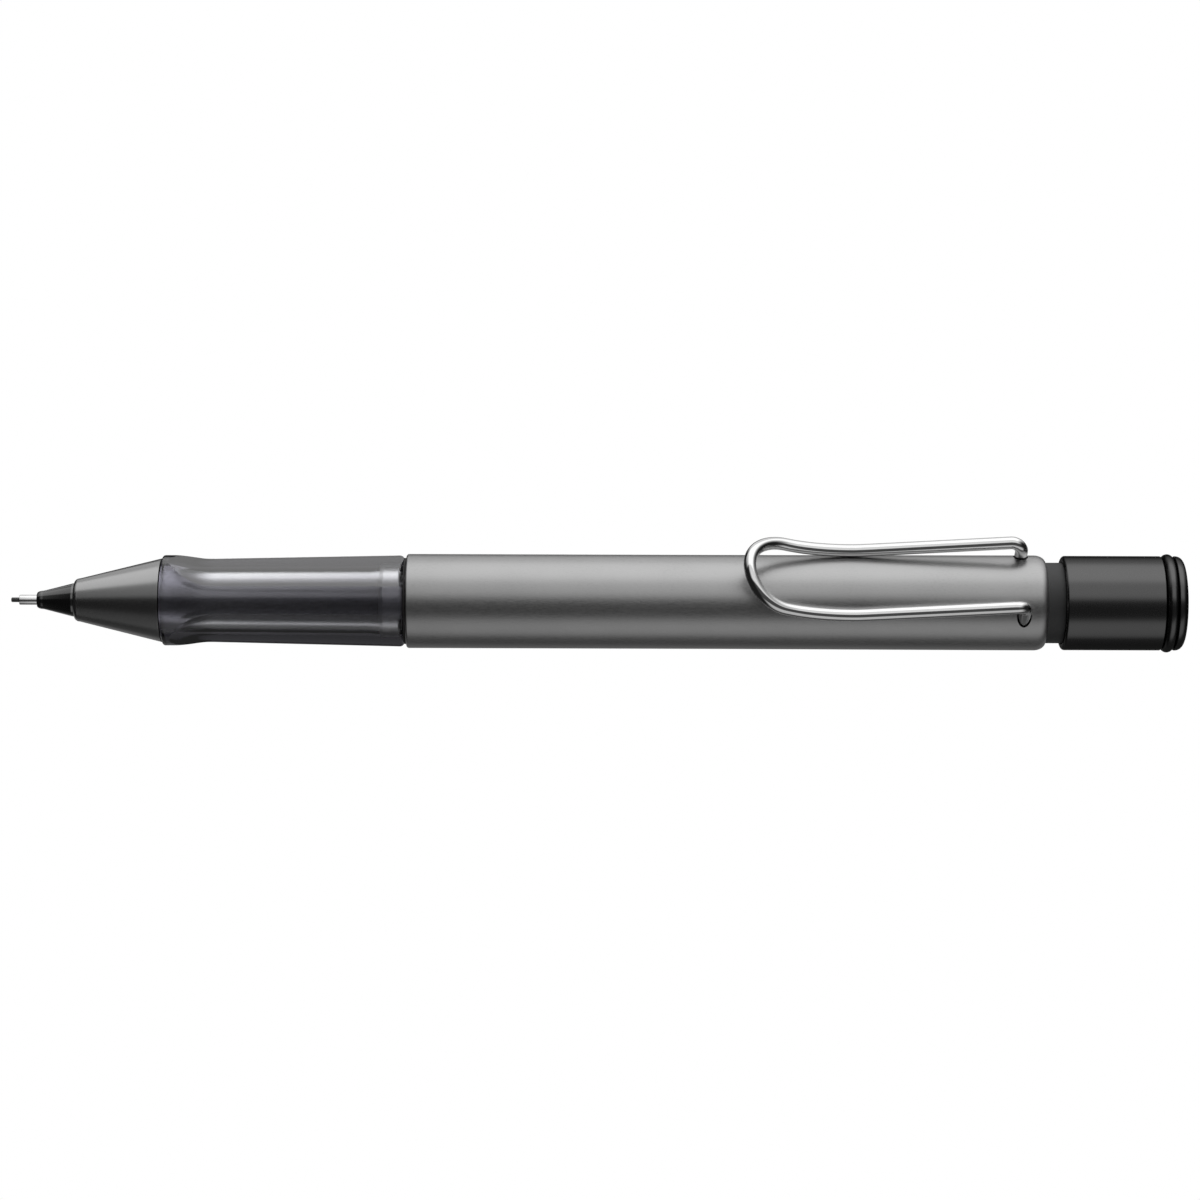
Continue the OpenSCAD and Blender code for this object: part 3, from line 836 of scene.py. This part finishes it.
# a dark screen round the camera, for the clear grip only: its angle, half widths and strength
SCREEN_ANGLE, SCREEN_WIDTHS, SCREEN_STRENGTH = -5, (20, 50), 0.35
GRIP_BOOST = 0.4  # how much brighter the rest of the studio is through the clear grip

# X parts of the directions towards the push button where every light ends and is full
FAR_END = 0.95, 0.55
# angle, half width at full strength, half width where it ends, strength, and the X parts of the
# directions towards the point where the light ends and is full
SOFTBOXES = [
    (82, 24, 33, 0.55, -0.95, -0.55),
    (77, 62, 73, 0.74, -0.62, -0.12),
    (-68, 17, 31, 0.47, -0.45, -0.12),
    (-20, 40, 70, 0.05, -0.45, -0.12),
    (-120, 10, 24, 0.06, -0.62, -0.12),
    (-165, 10, 40, 0.22, -0.95, -0.55),
]


def make_world():
    """Softboxes on a dark studio for the pieces, and plain white behind them for the camera."""
    world = bpy.data.worlds.new("studio")
    bpy.context.scene.world = world
    world.use_nodes = True
    tree = world.node_tree
    nodes, links = tree.nodes, tree.links
    background = nodes["Background"]
    direction = nodes.new("ShaderNodeTexCoord").outputs["Generated"]
    across = round_x(tree, direction)
    along = nodes.new("ShaderNodeSeparateXYZ")
    links.new(direction, along.inputs[0])
    far_end = smooth_step(tree, along.outputs[0], *FAR_END)
    total = AMBIENT
    for angle, inner, edge, strength, dark_x, lit_x in SOFTBOXES:
        band = near_direction(tree, across, lamp_direction(angle), inner, edge, strength)
        near_end = smooth_step(tree, along.outputs[0], dark_x, lit_x)
        cropped = math_node(tree, "MULTIPLY", math_node(tree, "MULTIPLY", band, near_end), far_end)
        total = math_node(tree, "ADD", cropped, total)
    path = nodes.new("ShaderNodeLightPath")
    contrast = SCREEN_STRENGTH + GRIP_BOOST
    screen = near_direction(tree, across, lamp_direction(SCREEN_ANGLE), *SCREEN_WIDTHS, contrast)
    change = math_node(tree, "SUBTRACT", GRIP_BOOST, screen)
    change = math_node(tree, "MULTIPLY", change, path.outputs["Is Transmission Ray"])
    total = math_node(tree, "MULTIPLY", total, math_node(tree, "ADD", 1.0, change))
    choose = nodes.new("ShaderNodeMix")
    choose.data_type = "FLOAT"
    links.new(path.outputs["Is Camera Ray"], choose.inputs[0])
    links.new(total, choose.inputs[2])
    choose.inputs[3].default_value = 1.0
    background.inputs["Color"].default_value = (1, 1, 1, 1)
    links.new(choose.outputs[0], background.inputs["Strength"])


def make_floor():
    """A plain pale floor: white from above, with the holder's own shade painted in it when seen through the
    grip.

    It is clear from below. Its light on the pieces is part of the studio world.
    """
    g = Graph("pale_floor")
    path = g.add("ShaderNodeLightPath")
    geometry = g.add("ShaderNodeNewGeometry")
    sideways = g.add("ShaderNodeSeparateXYZ")
    g.put(sideways.inputs[0], geometry.outputs["Position"])
    distance = math_node(g.tree, "ABSOLUTE", sideways.outputs[1], 0.0)
    # painted shade: the floor glows darker near the holder for rays that come through the grip
    shade = smooth_step(g.tree, distance, SHADE_REACH, SHADE_REACH / 2, 1 - SHADE)
    through = path.outputs["Is Transmission Ray"]
    shade = math_node(g.tree, "MULTIPLY", shade, through)
    glow = g.add("ShaderNodeEmission", Strength=math_node(g.tree, "SUBTRACT", 1.0, shade))
    seen = math_node(g.tree, "MAXIMUM", path.outputs["Is Camera Ray"], through)
    above = math_node(g.tree, "SUBTRACT", 1.0, geometry.outputs["Backfacing"])
    choose = g.add("ShaderNodeMixShader")
    g.put(choose.inputs[0], math_node(g.tree, "MULTIPLY", seen, above))
    g.put(choose.inputs[1], g.add("ShaderNodeBsdfTransparent").outputs[0])
    g.put(choose.inputs[2], glow.outputs[0])
    g.put(g.output.inputs["Surface"], choose.outputs[0])
    size, gap = 4.0, 0.0005
    lowest = cad_box[0].z
    bpy.ops.mesh.primitive_plane_add(size=size, location=(0.07, 0, lowest - gap))
    floor = bpy.context.object
    floor.name = "floor"
    floor.data.materials.append(g.material)


def make_camera():
    distance, width = 0.419, 0.1435
    centre_x, rise = 0.0694, 0.00019
    data = bpy.data.cameras.new("camera")
    data.sensor_width = 36.0
    data.lens = data.sensor_width * distance / width
    data.clip_start, data.clip_end = 0.01, 10.0
    camera = bpy.data.objects.new("camera", data)
    bpy.context.scene.collection.objects.link(camera)
    camera.location = Vector((centre_x, 0, 0)) + UP * rise + VIEW * distance
    roll = math.radians(0.18)
    turn = (-VIEW).to_track_quat("-Z", "Y") @ Euler((0, 0, roll)).to_quaternion()
    camera.rotation_mode = "QUATERNION"
    camera.rotation_quaternion = turn
    bpy.context.scene.camera = camera


make_world()
make_floor()
make_camera()
bpy.context.scene.view_settings.view_transform = "Standard"
